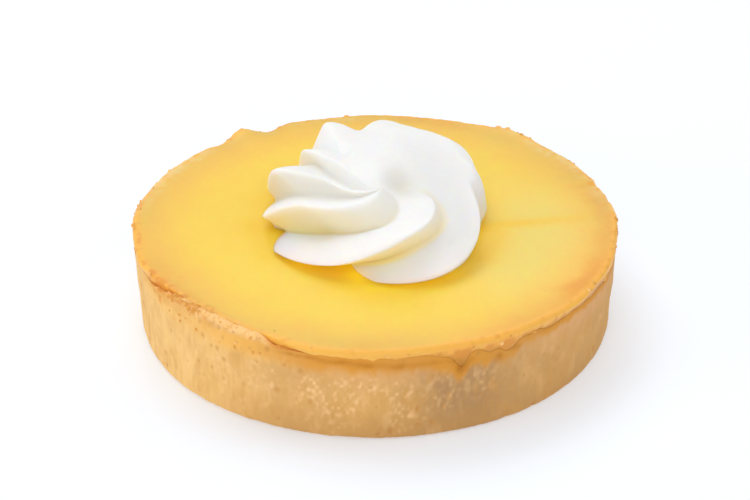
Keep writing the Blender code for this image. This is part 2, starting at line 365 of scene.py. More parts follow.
# Where the filling is browned, paler under a painted reflection, or deeper in colour under painted shade
fillingPaint = {
    "goldStart": 36.0,  # the golden edge fades in from this radius
    "goldEnd": 50.0,
    # angle, half width, how much further in the gold reaches
    "goldReach": (
        (213, 16, 3.5), (338, 20, 0.8), (50, 40, 1.8), (95, 30, 2.5),
        (145, 30, 2.4), (180, 12, 0.6), (298, 26, -2.2),
    ),
    # angle, half width, strength of the deeper amber right at the edge
    "amber": (
        (213, 13, 0.75), (332, 12, 0.9), (306, 10, 0.35),
        (75, 14, 0.45), (8, 24, 0.55), (267, 8, 0.25),
    ),
    "amberFade": (43.5, 48.5),
    # a painted reflection makes the filling paler round this place on the right
    "reflectionCentre": (30.0, -6.0),
    "reflectionRadius": 26.0,
    "reflectionFade": 8.0,
    # lines of painted shadow in deeper yellow, out from the cream: their ends, half width, strength and the
    # share lost along the way
    "streaks": (
        ((20, -0.8), (42, 3.2), 2, 0.95, 0.6),
        ((21.5, -13), (24, -3), 3.6, 0.8, 0),
        ((-24.5, 0), (-21, -12), 2.4, 0.9, 0),
    ),
    "shadeReach": 3.0,  # how far the painted shade reaches from the foot of the cream
    "shadeLimit": 36.0,  # and the radius where it ends in any case
    "shadeLoss": ((300, 16, 0.35),),  # angle, half width, how much of it is lost there
    # between which places to the left and to the right the light from the cream fades in and out
    "bounceIn": (-20.0, -13.0),
    "bounceOut": (18.0, 25.0),
    "crustWidth": 1.9,  # how far the crust of the lip reaches in over the top
    "crustFade": (0.15, 0.6),  # depths below the edge between which it sets in on the side
    # where the crust is toasted and where it stays light
    "toast": (
        (213, 14, 0.5), (238, 14, -0.5), (268, 18, -0.4),
        (318, 28, -0.35), (20, 40, 0.2), (100, 60, 0.1),
    ),
    "toastFade": (1.7, 2.9),  # depths below the edge between which it is toasted in any case
    "bleached": ((34, 24, 0.9), (150, 18, 1), (96, 12, 0.5)),  # where the crust stayed pale
    "bleachedWidth": (4.5, 1.5),  # distances from the edge between which it sets in
}


def creamShade(grid, away):
    # painted shade on the filling: 1 at the foot of the cream, fading out over the filling
    ring = creamGrid()[cream["footRows"] - 1]
    ring = np.concatenate([ring, 0.5 * (ring + np.roll(ring, -1, axis=0))])[:, :2]
    shade = np.zeros(away.shape)
    for row in np.flatnonzero(away.max(axis=1) < fillingPaint["shadeLimit"]):
        near = np.linalg.norm(grid[row][:, None, :2] - ring[None], axis=-1).min(axis=1)
        shade[row] = np.exp(-near / fillingPaint["shadeReach"])
    return shade


def paintFilling(grid, angles, away, height):
    paint = fillingPaint
    wander = 1.6 * layeredNoise(grid, size=5.0, seed=61, upward=0.3)
    wander = wander + 0.7 * layeredNoise(grid, size=1.5, seed=62, upward=0.3)
    reach = allSwellings(angles, paint["goldReach"])
    gold = rampUp(away + reach + wander, paint["goldStart"], paint["goldEnd"] + 0.5 * reach)
    amber = allSwellings(angles, paint["amber"]) * rampUp(away + 1.2 * wander, *paint["amberFade"])

    lipDepth = lipEdgeHeight(angles) - height
    edge = lipRadius(angles)
    crustStart = edge - paint["crustWidth"]
    outside = away > crustStart
    crust = rampUp(away + 0.6 * layeredNoise(grid, size=1.3, seed=64), crustStart, edge - 0.4)
    crust = np.maximum(crust, rampUp(lipDepth, *paint["crustFade"]) * outside)
    patches = layeredNoise(grid, size=1.5, seed=66, upward=0.7) + allSwellings(angles, paint["toast"])
    toast = crust * rampUp(patches + 0.7 * rampUp(lipDepth, 0.6, 2.2), -0.1, 0.8)
    toast = np.maximum(toast, rampUp(lipDepth, *paint["toastFade"]) * outside)
    start, end = (edge - width for width in paint["bleachedWidth"])
    bleached = allSwellings(angles, paint["bleached"]) * rampUp(away + 0.8 * wander, start, end)
    bleached = bleached * rampUp(layeredNoise(grid, size=1.8, seed=67, upward=0.7), -0.5, 0.4)

    # painted reflection: paler round a place on the right
    side = np.linalg.norm(grid[..., :2] - np.array(paint["reflectionCentre"]), axis=-1)
    side = side + 3.0 * layeredNoise(grid, size=9.0, seed=63)
    pale = 1 - rampUp(side, paint["reflectionFade"], paint["reflectionRadius"] + paint["reflectionFade"])
    # painted shadow: lines of deeper yellow running out from the cream
    streak = 0
    for start, end, half, strength, loss in paint["streaks"]:
        line = np.subtract(end, start)
        share = np.clip(((grid[..., :2] - start) @ line) / (line @ line), 0, 1)
        miss = np.linalg.norm(grid[..., :2] - start - share[..., None] * line, axis=-1)
        streak = np.maximum(streak, strength * np.exp(-((miss / half) ** 2)) * (1 - loss * share))
    # painted shade round the foot of the cream, weaker at the front; it also sets where the bounced glow
    # lies
    shade = creamShade(grid, away)
    across = grid[..., 0]
    bounce = shade * rampUp(across, *paint["bounceIn"]) * (1 - rampUp(across, *paint["bounceOut"]))
    shade = shade * (1 - allSwellings(angles, paint["shadeLoss"]))
    burnt = burntShare(grid, angles, height) * outside
    return dict(
        gold=gold, amber=amber, crust=crust, toast=toast, bleached=bleached,
        pale=pale, streak=streak, shade=shade, bounce=bounce, burnt=burnt,
    )


def makeFilling():
    angles = evenAngles(filling["columns"])
    under = underLip(angles)
    edge = lipEdgeHeight(angles)
    radius = lipRadius(angles)
    innerTop = shell["rimRadius"] - shell["wallTop"] - shell["gap"]
    innerLow = shell["baseRadius"] - shell["wallBottom"] - shell["gap"]
    top = filling["top"]
    bottom = shell["floorThickness"] + shell["gap"]
    bare = bareShare(angles)
    foot = (wallTopRadius(angles) + lipOverhang(angles)) * (1 - bare) + (radius - filling["lipTuck"]) * bare
    foot = np.minimum(foot, radius - filling["lipLeast"])
    soft = 1 - 0.7 * bare  # the edge is less round where the rim is bare
    widest = edge - 0.75 * soft  # height at which the lip stands out furthest
    depth = widest - under
    slopeTop = top - 0.1 + 0.2 * (edge - top + filling["lipFall"])
    # radius and height, from the middle of the underside round the lip to the middle of the top
    profile = [
        (innerLow - 2.4, bottom), (innerLow - 0.8, bottom + 0.7), (innerLow + 0.1, bottom + 2.1),
        (innerTop - 0.35, under - 0.95), (innerTop, under),
        (foot - 0.08, under),
        (foot, under + 0.05 * depth),
        (0.45 * foot + 0.55 * radius, under + 0.55 * depth),
        (radius, widest),
        (radius - 0.3 * soft, edge - 0.24 * soft),
        (radius - 1.0, edge + 0.03),
        (radius - filling["lipShoulder"], slopeTop),
        (radius - 11, top),
        (filling["innerRing"] + 0 * angles, top),
        (filling["middleRing"] + 0 * angles, top),
    ]
    steps = (1, 1, 2, 1, 3, 2, 4, 5, 4, 5, 12, 8, 20, 4)
    away, height, grid, normal = turnedSurface(profile, steps, angles)
    outside = np.arange(len(away))[:, None] > sum(steps[:6])
    nearEdge = rampUp(away, 36, 47) * outside
    ripple = 0.05 * layeredNoise(grid, size=7.0, seed=3)
    ripple = ripple + 0.035 * nearEdge * layeredNoise(grid, size=1.6, seed=5)
    rough = 0.16 * nearEdge * rampUp(away, radius - 2.5, radius - 0.5)
    rough = rough * layeredNoise(grid, size=1.2, seed=8, upward=0.6)
    rough = rough * rampUp(height, under, under + 1.0)
    grid = grid + normal * ((ripple + rough) * outside)[..., None]
    return ringObject("lemonFillingSet", grid, paintFilling(grid, angles, away, height))


# Where the pastry is paler, duller or stained by filling that seeped out and baked on, with painted shade
# under the lip and at the foot
shellPaint = {
    # angle, half width, strength
    "pale": ((205, 34, 1), (150, 30, 0.7), (60, 40, 0.5)),
    "dull": ((290, 13, 1), (252, 12, 0.35), (322, 34, 0.35), (110, 30, 0.5), (20, 24, 0.4)),
    # baked-on seep under the lip, which also carries painted shade just below the lip's edge
    "seepAndShade": (
        (263, 20, 1), (292, 14, 0.9), (318, 14, 0.8), (338, 12, 0.8),
        (208, 8, 0.5), (10, 40, 0.6), (100, 60, 0.6),
    ),
    # how far below the lip the stain and its painted shade reach: angle, half width, depth
    "seepDepth": ((272, 30, 3.8), (326, 20, -0.6), (0, 360, 2)),
    "deepest": 4.5,
    "speck": ((268, 24, 1), (236, 16, 0.6), (0, 360, 0.2)),
    "speckHeight": 11.0,  # where on the wall the light specks lie thickest
    "honey": ((236, 13, 0.9), (206, 10, 0.4)),  # golden crumb under the bare rim
    "toast": ((212, 13, 0.6), (240, 14, -0.25)),
    # darker low on the front of the wall: painted contact shade and a browner crust
    "foot": ((268, 30, 0.8), (310, 30, 0.3)),
    "blush": ((328, 24, 0.7), (272, 16, 0.5)),
    # heights between which each of these fades in, or out at the foot
    "pitFade": (15.5, 17.5),
    "honeyFade": (14.5, 18.0),
    "blushFade": (10.0, 17.0),
    "footFade": (1.0, 9.0),
}


def paintShell(grid, angles, height, seat, crumb, pits):
    paint = shellPaint

    def around(label):
        return np.clip(allSwellings(angles, paint[label]), 0, paint["deepest"])

    lumps = layeredNoise(grid, size=5.0, seed=71)
    mottle = layeredNoise(grid, size=2.1, seed=75, upward=0.45)
    pale = around("pale") * (1 + 0.4 * lumps)
    dull = around("dull") * (1 + 0.5 * lumps)
    # baked-on seep below the lip, with painted shade just under its edge
    below = seat - height + 0.9 * layeredNoise(grid, size=1.8, seed=73, upward=0.4)
    below = below + 0.6 * softNoise(grid, size=0.9, seed=72, upward=0.12)
    depth = around("seepDepth")
    seepAndShade = around("seepAndShade") * (1 - rampUp(below, 0.45 * depth, depth + 0.4))
    cloud = layeredNoise(grid, size=4.5, seed=77) + 0.5 - 0.09 * np.abs(height - paint["speckHeight"])
    specks = 0.8 * softNoise(grid, size=0.6, seed=74, upward=0.65) + 0.5 * crumb
    speck = 0.8 * around("speck") * rampUp(cloud, -0.2, 0.5) * rampUp(specks, -0.2, 0.9)
    rim = bareShare(angles) * rampUp(height - seat + 0.9 * mottle, 0.0, 1.3)
    patches = layeredNoise(grid, size=1.4, seed=76, upward=0.7) + allSwellings(angles, paint["toast"])
    toast = rim * rampUp(patches, -0.1, 0.7)
    rimPits = pitField(grid, spacing=1.7, share=0.7, seed=57) * np.clip(around("honey"), 0, 1)
    pits = np.maximum(pits, rimPits * rampUp(height, *paint["pitFade"]))
    honey = around("honey") * rampUp(height + 1.0 * mottle, *paint["honeyFade"]) * (1 - rim)
    blush = around("blush") * rampUp(height + 1.5 * mottle, *paint["blushFade"])
    # painted contact shade and browner crust, low on the front of the wall
    foot = around("foot") * (1 - rampUp(height + 1.2 * mottle, *paint["footFade"]))
    burnt = burntShare(grid, angles, height)
    return dict(
        mottle=mottle, pale=pale, dull=dull, seepAndShade=seepAndShade, speck=speck, pit=pits,
        rim=rim, toast=toast, honey=honey, blush=blush, foot=foot, burnt=burnt,
    )


def makeShell():
    angles = evenAngles(shell["columns"])
    wave = wallWave(angles)
    grain = shell["grainDepth"] * wavy(0, angles, shell["grainWaves"])
    seat = underLip(angles) - shell["seam"]
    bare = bareShare(angles)
    outer = wallTopRadius(angles)
    stepDepth = shell["stepDepth"]
    room = outer - stepDepth - shell["gap"] - lipRadius(angles)
    clear = smoothStep((room - 0.02) / 0.7)  # 1 where the filling leaves room for a bare rim
    rise = seat + bare * clear * (shell["bareRise"] + filling["lipThick"] - stepDepth)
    shoulder = 0.06 + 0.94 * bare * clear  # the rim is only rounded where it is bare
    step = np.minimum(lipRadius(angles) + 0.06, outer - stepDepth)
    innerTop = shell["rimRadius"] - shell["wallTop"]
    innerLow = shell["baseRadius"] - shell["wallBottom"]
    base = shell["baseRadius"]
    floor = shell["floorThickness"]
    # radius and height, from the underside up the wall and down inside to the floor
    profile = [
        (base - shell["footRounding"], 0.0 * angles),
        (base - 0.25 + 0.4 * wave, 0.35),
        (base + 0.15 + wave, shell["footRounding"] + 0.3),
        (base + 0.5 + wave + grain, 6),
        (base + 0.85 + wave - grain, 11),
        (shell["rimRadius"] - 0.2 + wave + 0.5 * grain, 15.5),
        (outer, rise - 0.9 * shoulder),
        (outer - 0.25 * shoulder, rise - 0.2 * shoulder),
        (outer - 0.6 * shoulder, rise),
        (step, rise - 0.05),
        (step - 0.05, seat),
        (innerTop, seat), (innerTop - 0.25, seat - 0.85),
        (innerLow + 0.2, floor + 2.2), (innerLow - 0.6, floor + 0.6), (innerLow - 2.2, floor),
    ]
    steps = (3, 5, 16, 16, 15, 12, 4, 4, 5, 2, 2, 1, 2, 1, 1)
    _, height, grid, normal = turnedSurface(profile, steps, angles)
    index = np.arange(len(height))[:, None]
    wall = (index > 1) & (index < sum(steps[:8]))
    streak = softNoise(grid, size=0.8, seed=21, upward=0.18)
    crumb = layeredNoise(grid, size=0.9, seed=31)
    lump = layeredNoise(grid, size=3.2, seed=41)
    pits = pitField(grid * [1, 1, 0.8], spacing=2.0, share=0.35, seed=51)
    relief = shell["streakDepth"] * streak + shell["crumbDepth"] * crumb + shell["lumpDepth"] * lump
    relief = relief - shell["pitDepth"] * smoothStep(pits * 1.6) * rampUp(lump, -0.3, 0.5)
    start, full = (rise - below for below in shell["rimLumps"])
    rimLumps = shell["rimLumpDepth"] * bare * rampUp(height, start, full)
    relief = relief + rimLumps * layeredNoise(grid, size=1.4, seed=33)
    grid = grid + normal * (relief * wall)[..., None]
    return ringObject("pastryShellBaked", grid, paintShell(grid, angles, height, seat, crumb, pits * wall))


# Piped cream: ridges start low at the edge and curl in to an off-centre swirl, with a valley after each
cream = {
    "columns": 32,
    "rows": 96,
    "rowSpread": 0.9,  # below 1 the rows lie closer together towards the middle
    "footRows": 6,
    "seat": 22.0,
    "sink": 0.26,  # how far the foot reaches down to the filling
    "centre": (2.0, -5.0),
    "drift": (-0.8, -2.0),
    "height": 13.0,
    "footShare": 0.9,
    "footLimit": 26.0,
    "flankShare": 0.45,
    # angle, reach and height at the outer end, a third and two thirds of the way in, and the last angle
    "ridges": (
        (170, 25.6, 2.2, 183, 18.4, 7.9, 223, 9.1, 10.9, 262),
        (197, 23.6, 0.4, 237, 20.2, 2.7, 297, 15.9, 9.9, 415),
        (265, 19.5, 0.3, 304, 22.4, 1.8, 348, 19.7, 6, 432),
        (386, 23.2, 2.2, 390, 22.6, 7.8, 405, 17.7, 12.2, 458),
        (409, 26.3, 2.5, 421, 24.7, 10.6, 430, 14, 14.2, 488),
        (442, 28.3, 2.8, 452, 26.2, 12.7, 459, 12.5, 14.4, 518),
        (481, 30.8, 4.5, 475, 29.7, 12, 479, 14, 13.9, 545),
        (486, 30.5, 3, 490, 26.6, 9.2, 500, 10.2, 12.8, 556),
        (507, 29.1, 2.4, 515, 24.8, 10, 516, 14.6, 11, 590),
    ),
    # the same for the valley after each ridge
    "valleys": (
        (176, 20.2, 0.4, 199, 10.6, 2.6, 264, 10.4, 8, 330),
        (237, 12.8, 0.1, 276, 12.9, 2.4, 318, 14.6, 7, 424),
        (370, 19.2, 0.1, 373, 19.4, 4.2, 384, 18.2, 9, 450),
        (391, 23.6, 1.4, 402, 24, 9.4, 414, 15.5, 12.8, 472),
        (425, 24.8, 2, 437, 24.4, 11.2, 446, 12.8, 14.2, 504),
        (462, 26.8, 2.4, 462, 25, 10.4, 470, 12.6, 13.6, 533),
        (483, 28.2, 2.6, 481, 26.6, 7.6, 488, 12.6, 12.6, 556),
        (489, 29.6, 2, 492, 21.1, 7.8, 513, 10.6, 10.4, 572),
        (511, 25.5, 1.4, 526, 18, 7, 545, 9.6, 9.8, 604),
    ),
    # roundness of each ridge, how its flank falls (1 steep at first, 0 even, -1 domed), how convex the face
    # is that leads up to it, how soft the valley after it is
    "forms": (
        (0.1, 0.3, 0.6, 0.1), (0, 1, 0.6, 0.35), (0, 1, 0.1, 0.8),
        (0.8, -0.7, 0.5, 1), (1, -1, 0.5, 1), (1, -1, 0.5, 1),
        (1, -0.8, 0.5, 0.9), (0.3, 0, 0.4, 0.9), (0.2, 0.1, 0.1, 0.7),
    ),
    # where each ridge starts and ends to fade on its way in, and where the valley after it does
    "fades": (
        (0.9, 1.02, 0.92, 1.06), (0.8, 0.9, 0.74, 0.92), (0.5, 0.75, 0.45, 0.7),
        (0.35, 0.6, 0.25, 0.5), (0.24, 0.54, 0.24, 0.54), (0.24, 0.54, 0.32, 0.66),
        (0.36, 0.78, 0.54, 0.92), (0.8, 1.02, 0.86, 1.04), (0.8, 1.02, 0.86, 1.04),
    ),
    # how much painted warm shade, from light bounced off the filling, the flank after each ridge has and
    # how far over the next face that reaches
    "warmShading": (
        (0.95, 0.06), (1, 0.22), (1, 0.1), (0.05, 0.3), (0.1, 0.3),
        (0.1, 0.3), (0.1, 0.3), (0.6, 0.4), (0.4, 0.7),
    ),
    "warmEnd": (13.0, 19.0),  # between which places to the right the painted warm shade ends
    "coolPlace": ((4.0, 8.0), (-7.0, -1.0)),  # across and back, where it ends too
    "bounce": (0, 1, 1, 0, 0, 0, 0, 0, 0),  # how much light the filling throws on to it
    "greyShade": (0.6, 0, 0, 0, 0, 0, 0, 0.4, 1),  # how much painted grey shade it has
    "smoothing": 16,
    "ripple": 0.2,  # height of the slow unevenness of the surface
    # shallow hollows: place from the middle of the tart, half width each way, turn, depth
    "hollows": (
        (5.3, -4.8, 3.2, 4.4, -15, 1.2),
        (-5.9, 8, 1, 1.8, 0, 0.5),
        (15.5, -17, 0.5, 0.7, 0, 0.3),
    ),
    "greyPatch": (5.3, -4.8, 3.4, 4.8),  # the painted shade in the first of them: place, half width each way
    "greyTints": (0.15, 0.7),  # how warm and how grey that painted shade is
}


def throughFour(v, t):
    # smooth curve through four values at 0, 1/3, 2/3 and 1
    d = np.diff(v)
    inner = gentleSlopes(d)
    slope = np.array([1.5 * d[0] - 0.5 * inner[0], *inner, 1.5 * d[2] - 0.5 * inner[1]])
    x = t * 3
    i = np.minimum(x.astype(int), 2)
    return smoothBetween(x - i, v[i], v[i + 1], slope[i], slope[i + 1])


def ridgeCurve(row, t, turn=0.0):
    # angle, reach and height along a ridge or a valley, from its outer end to the top of the swirl
    marks = np.reshape([*row, 0.0, cream["height"]], (4, 3))
    angle, reach, height = (throughFour(values, t) for values in marks.T)
    return np.array([angle + turn, reach, height])


def acrossRidges(values, valleyValues):
    # one value a column, from those at the ridges and at the valleys after them
    count = len(values)
    marks = np.append(np.arange(count)[:, None] + [0, cream["flankShare"]], count)
    places = np.arange(count * cream["columns"]) / cream["columns"]
    return np.interp(places, marks, np.append(np.stack([values, valleyValues], axis=1), values[0]))


def ridgeLines(t):
    # angle, reach and height of every column: down from each ridge to its valley, then up to the next ridge
    ridges, forms, columns = cream["ridges"], np.array(cream["forms"]), cream["columns"]
    flank = round(columns * cream["flankShare"])
    face = columns - flank
    lines = []
    for k in range(len(ridges)):
        following = (k + 1) % len(ridges)
        crest = ridgeCurve(ridges[k], t)
        valley = ridgeCurve(cream["valleys"][k], t)
        nextCrest = ridgeCurve(ridges[following], t, 0.0 if following else 360.0)
        steep, domed = max(forms[k, 1], 0), max(-forms[k, 1], 0)
        convex = forms[following, [0, 2]].max()
        for f in np.arange(flank) / flank:
            down = f + steep * (np.sin(f * np.pi / 2) - f) + domed * (1 - np.cos(f * np.pi / 2) - f)
            lines.append(crest + (valley - crest) * np.array([f, down, down])[:, None])
        for f in np.arange(face) / face:
            up = f + convex * (np.sin(f * np.pi / 2) - f)
            lines.append(valley + (nextCrest - valley) * np.array([f, up, up])[:, None])
    return np.moveaxis(np.array(lines), 1, 0)


def fadedRidges(grid, along):
    # soften the valleys and the round ridges, and let every ridge fade where it runs in to the swirl
    forms, fades = np.array(cream["forms"]), np.array(cream["fades"])
    start = acrossRidges(*fades[:, [0, 2]].T)[:, None]
    end = acrossRidges(*fades[:, [1, 3]].T)[:, None]
    faded = rampUp(along[None, :], start, end)
    # they sink in to a smooth dome that fits the inner part
    x, y = ((grid[..., k] - cream["centre"][k]) / 20 for k in (0, 1))
    terms = np.stack([x**i * y**j for i in range(5) for j in range(5 - i)], axis=-1)
    inner = np.broadcast_to(along > 0.45, x.shape)
    dome = terms @ np.linalg.lstsq(terms[inner], grid[inner][:, 2], rcond=None)[0]
    grid[..., 2] += (dome - grid[..., 2]) * faded
    soft = acrossRidges(0.6 * forms[:, 0], forms[:, 3])[:, None]
    blend = rampUp(faded, 0.2, 1.0)
    for i in range(cream["smoothing"] * 5):
        weight = np.maximum(soft * (i < cream["smoothing"]), blend)[..., None]
        between = 0.5 * np.roll(grid, 1, axis=0) + 0.5 * np.roll(grid, -1, axis=0)
        grid = grid + 0.5 * weight * (between - grid)
    return grid


def creamGrid():
    footRows = cream["footRows"]
    t = np.linspace(0, 1, cream["rows"] + 1)[:-1] ** cream["rowSpread"]
    angle, reach, height = ridgeLines(t)
    # the foot turns in under the outer ends and reaches down to the filling
    f = np.linspace(1, 0, footRows + 1)[:-1]
    end = reach[:, :1]
    foot = end + (np.minimum(end * cream["footShare"], cream["footLimit"]) - end) * np.sin(f * np.pi / 2)
    angle = np.radians(np.concatenate([np.repeat(angle[:, :1], footRows, axis=1), angle], axis=1))
    reach = np.concatenate([foot, reach], axis=1)
    height = np.concatenate([height[:, :1] * (1 - f) - cream["sink"] * f, height], axis=1)
    along = np.concatenate([np.zeros(footRows), t])
    drift = smoothStep((along - 0.5) / 0.5)
    x = cream["centre"][0] + cream["drift"][0] * drift + reach * np.cos(angle)
    y = cream["centre"][1] + cream["drift"][1] * drift + reach * np.sin(angle)
    grid = fadedRidges(np.stack([x, y, height], axis=-1), along)
    for x, y, halfX, halfY, turn, depth in cream["hollows"]:
        grid[..., 2] -= depth * ovalPatch(grid, x, y, halfX, halfY, turn)
    grid[..., 2] += cream["ripple"] * rampUp(grid[..., 2], 1, 4) * layeredNoise(grid, size=3.8, seed=97)
    return np.swapaxes(grid + [0, 0, cream["seat"]], 0, 1)


def makeCream():
    grid = creamGrid()
    share = cream["flankShare"]
    part = np.arange(cream["columns"]) / cream["columns"]
    start = rampUp(part, -0.03, 0.25 * share)
    strips = []
    for (strength, reach), bounce, greyShade in zip(cream["warmShading"], cream["bounce"], cream["greyShade"]):
        end = 1 - rampUp((part - share) / (1 - share), 0, reach)
        strips.append([amount * start * end for amount in (strength, bounce, greyShade)])
    warmShade, bounce, greyShade = np.concatenate(strips, axis=1)[:, None, :]
    # the painted warm shade and the bounced glow are strongest low down by the filling
    low = np.clip(1.25 - 0.1 * (grid[..., 2] - cream["seat"]), 0, 1.1)
    low = low * (1 - rampUp(grid[..., 0], *cream["warmEnd"]))
    across, back = cream["coolPlace"]
    low = low * (1 - rampUp(grid[..., 1], *back) * rampUp(grid[..., 0], *across))
    # painted shade in the hollow
    patch = ovalPatch(grid, *cream["greyPatch"])
    patchWarm, patchGrey = cream["greyTints"]
    paints = {
        "warmShade": np.maximum(warmShade * low, patchWarm * patch),
        "bounce": bounce * low,
        "greyShade": np.maximum(greyShade, patchGrey * patch),
    }
    return ringObject("creamRosettePiped", grid, paints)


# Crumbs that broke off the rim or stuck to it while baking, scattered over the shell and the filling
crumbs = {
    "seed": 12,
    "squash": 0.7,
    "sunk": 0.4,  # share of its size that a crumb sits in the surface
    "lumpiness": 0.35,
    "lightSpread": 0.35,
    # piece, angles, radii and heights between which the crumbs lie, how many, half sizes, lightness
    "zones": (
        ("shell", (204, 226), (47, 50.5), (20.3, 23), 60, (0.2, 0.55), 0.25),
        ("shell", (226, 250), (47, 50.5), (20.3, 23), 34, (0.2, 0.45), 0.85),
        ("shell", (206, 243), (48, 50.5), (16.5, 20.4), 46, (0.2, 0.45), 0.45),
        ("filling", (204, 250), (46, 48), (21, 22.5), 6, (0.2, 0.35), 0.4),
        ("filling", (250, 292), (49.3, 51), (19.8, 21.3), 5, (0.2, 0.35), 0.5),
        ("filling", (292, 350), (49.3, 51), (18.4, 21.3), 9, (0.3, 0.6), 0.4),
        ("filling", (350, 564), (49.2, 51), (19.5, 22.5), 90, (0.25, 0.5), 0.45),
    ),
    "singleLight": 0.95,
    "singleRadius": 48.0,  # single ones sit outside this radius
    # single larger ones on the filling: angle, height, half size
    "single": (
        (300, 19.4, 0.5), (312.4, 19.9, 0.45), (329.6, 20.9, 0.5),
        (124.5, 21.9, 0.6), (58.5, 21.6, 0.55), (49, 21.6, 0.4),
    ),
}


def surfacePoints(piece):
    # places and outward directions of the points of a piece, their angle round the tart and their radius
    places = np.empty(len(piece.data.vertices) * 3)
    normals = np.empty(len(places))
    piece.data.vertices.foreach_get("co", places)
    piece.data.vertices.foreach_get("normal", normals)
    places = places.reshape(-1, 3) / mm
    turn = np.degrees(np.arctan2(places[:, 1], places[:, 0])) % 360
    return places, normals.reshape(-1, 3), turn, np.linalg.norm(places[:, :2], axis=1)


def chosenPlaces(pieces, chance):
    # place, outward direction, half size and lightness of every crumb
    surfaces = {label: surfacePoints(piece) for label, piece in pieces.items()}
    chosen = []
    for label, angles, radii, heights, count, halfSizes, light in crumbs["zones"]:
        places, normals, turn, away = surfaces[label]
        inside = (turn - angles[0]) % 360 < angles[1] - angles[0]
        for values, (least, most) in ((away, radii), (places[:, 2], heights)):
            inside &= (values > least) & (values < most)
        for k in chance.choice(np.flatnonzero(inside), count):
            size = halfSizes[0] + (halfSizes[1] - halfSizes[0]) * chance.random() ** 2
            tone = np.clip(light + crumbs["lightSpread"] * chance.normal(), 0.1, 1)
            chosen.append((places[k], normals[k], size, tone))
    places, normals, turn, away = surfaces["filling"]
    for angle, height, size in crumbs["single"]:
        miss = angleFrom(turn, angle) ** 2 + (places[:, 2] - height) ** 2
        k = np.argmin(np.where(away > crumbs["singleRadius"], miss, np.inf))
        chosen.append((places[k], normals[k], size, crumbs["singleLight"]))
    return chosen


def makeCrumbs(pieces):
    lump = bmesh.new()
    bmesh.ops.create_icosphere(lump, subdivisions=2, radius=1.0)
    ball = np.array([v.co[:] for v in lump.verts])
    sides = np.array([[v.index for v in f.verts] for f in lump.faces])
    lump.free()
    chance = np.random.default_rng(crumbs["seed"])
    points, faces, tones = [], [], []
    for number, (place, normal, size, tone) in enumerate(chosenPlaces(pieces, chance)):
        uneven = softNoise(ball + 7.3 * number, size=0.9, seed=5)
        shape = ball * (1 + crumbs["lumpiness"] * uneven)[:, None]
        shape = shape * (0.75 + 0.5 * chance.random(3))
        along = shape @ normal
        shape = shape - (1 - crumbs["squash"]) * along[:, None] * normal
        faces.append(sides + len(ball) * number)
        points.append(place + size * (shape + (crumbs["squash"] - 2 * crumbs["sunk"]) * normal))
        tones.append(np.full(len(ball), tone))
    mesh = bpy.data.meshes.new("rimCrumbs")
    mesh.from_pydata((np.concatenate(points) * mm).tolist(), [], np.concatenate(faces).tolist())
    mesh.shade_smooth()
    paintMesh(mesh, "tone", np.concatenate(tones))
    return linked("rimCrumbs", mesh)


# Materials: the colour of each changes with the values painted on its mesh and with fine noise
def feed(tree, node, inputs):
    # each input takes a fixed value or the output of another node
    for name, value in inputs.items():
        if isinstance(value, bpy.types.NodeSocket):
            tree.links.new(value, node.inputs[name])
        else:
            node.inputs[name].default_value = value


def addNode(tree, kind, inputs, **settings):
    node = tree.nodes.new("ShaderNode" + kind)
    for name, value in settings.items():
        setattr(node, name, value)
    feed(tree, node, inputs)
    return node.outputs


def opaque(colour):
    return (*colour, 1.0)


def startMaterial(name, look):
    material = bpy.data.materials.new(name)
    material.use_nodes = True
    tree = material.node_tree
    shader = tree.nodes["Principled BSDF"]
    inputs = {"Base Color": opaque(look["colour"]), "Roughness": look["roughness"]}
    inputs["Specular IOR Level"] = look["gloss"]
    if "glow" in look:
        inputs["Subsurface Weight"] = look["glow"]
        inputs["Subsurface Radius"] = look["glowColour"]
        inputs["Subsurface Scale"] = look["glowDepth"] * mm
    feed(tree, shader, inputs)
    return material, tree, shader


def painted(tree, label):
    return addNode(tree, "Attribute", {}, attribute_name=label)["Fac"]


def fineNoise(tree, size, detail=3.0, upward=1.0):
    # noise with lumps about size millimetres, drawn out in height where upward is below 1
    place = addNode(tree, "TexCoord", {})["Object"]
    place = addNode(tree, "Mapping", {"Vector": place, "Scale": (1.0, 1.0, upward)})["Vector"]
    return addNode(tree, "TexNoise", {"Vector": place, "Scale": 1000.0 / size, "Detail": detail})["Fac"]


def remapped(tree, value, low, high, start=0.0, end=1.0):
    inputs = dict(enumerate((value, low, high, start, end)))
    return addNode(tree, "MapRange", inputs, interpolation_type="SMOOTHSTEP")[0]


def multiplied(tree, first, second):
    return addNode(tree, "Math", {0: first, 1: second}, operation="MULTIPLY")[0]


def tinted(tree, amount, base, colour):
    # base is a colour or the output of another tint
    base = opaque(base) if isinstance(base, tuple) else base
    inputs = {"Factor": amount, "A": base, "B": opaque(colour)}
    return addNode(tree, "Mix", inputs, data_type="RGBA", clamp_factor=True)["Result"]


def paintedTints(tree, colour, look, labels):
    # one tint over the other, each where the value of the same name is painted
    for label in labels:
        colour = tinted(tree, painted(tree, label), colour, look[label])
    return colour


def bouncedLight(tree, look):
    # a weak glow for the yellow light between the cream and the filling
    strength = remapped(tree, painted(tree, "bounce"), 0.0, 1.0, 0.0, look["bounceStrength"])
    return {"Emission Color": opaque(look["bounce"]), "Emission Strength": strength}


def grained(tree, look, detail=3.0):
    height = fineNoise(tree, look["grainSize"], detail)
    return addNode(tree, "Bump", {"Distance": look["grainDepth"] * mm, "Height": height})["Normal"]


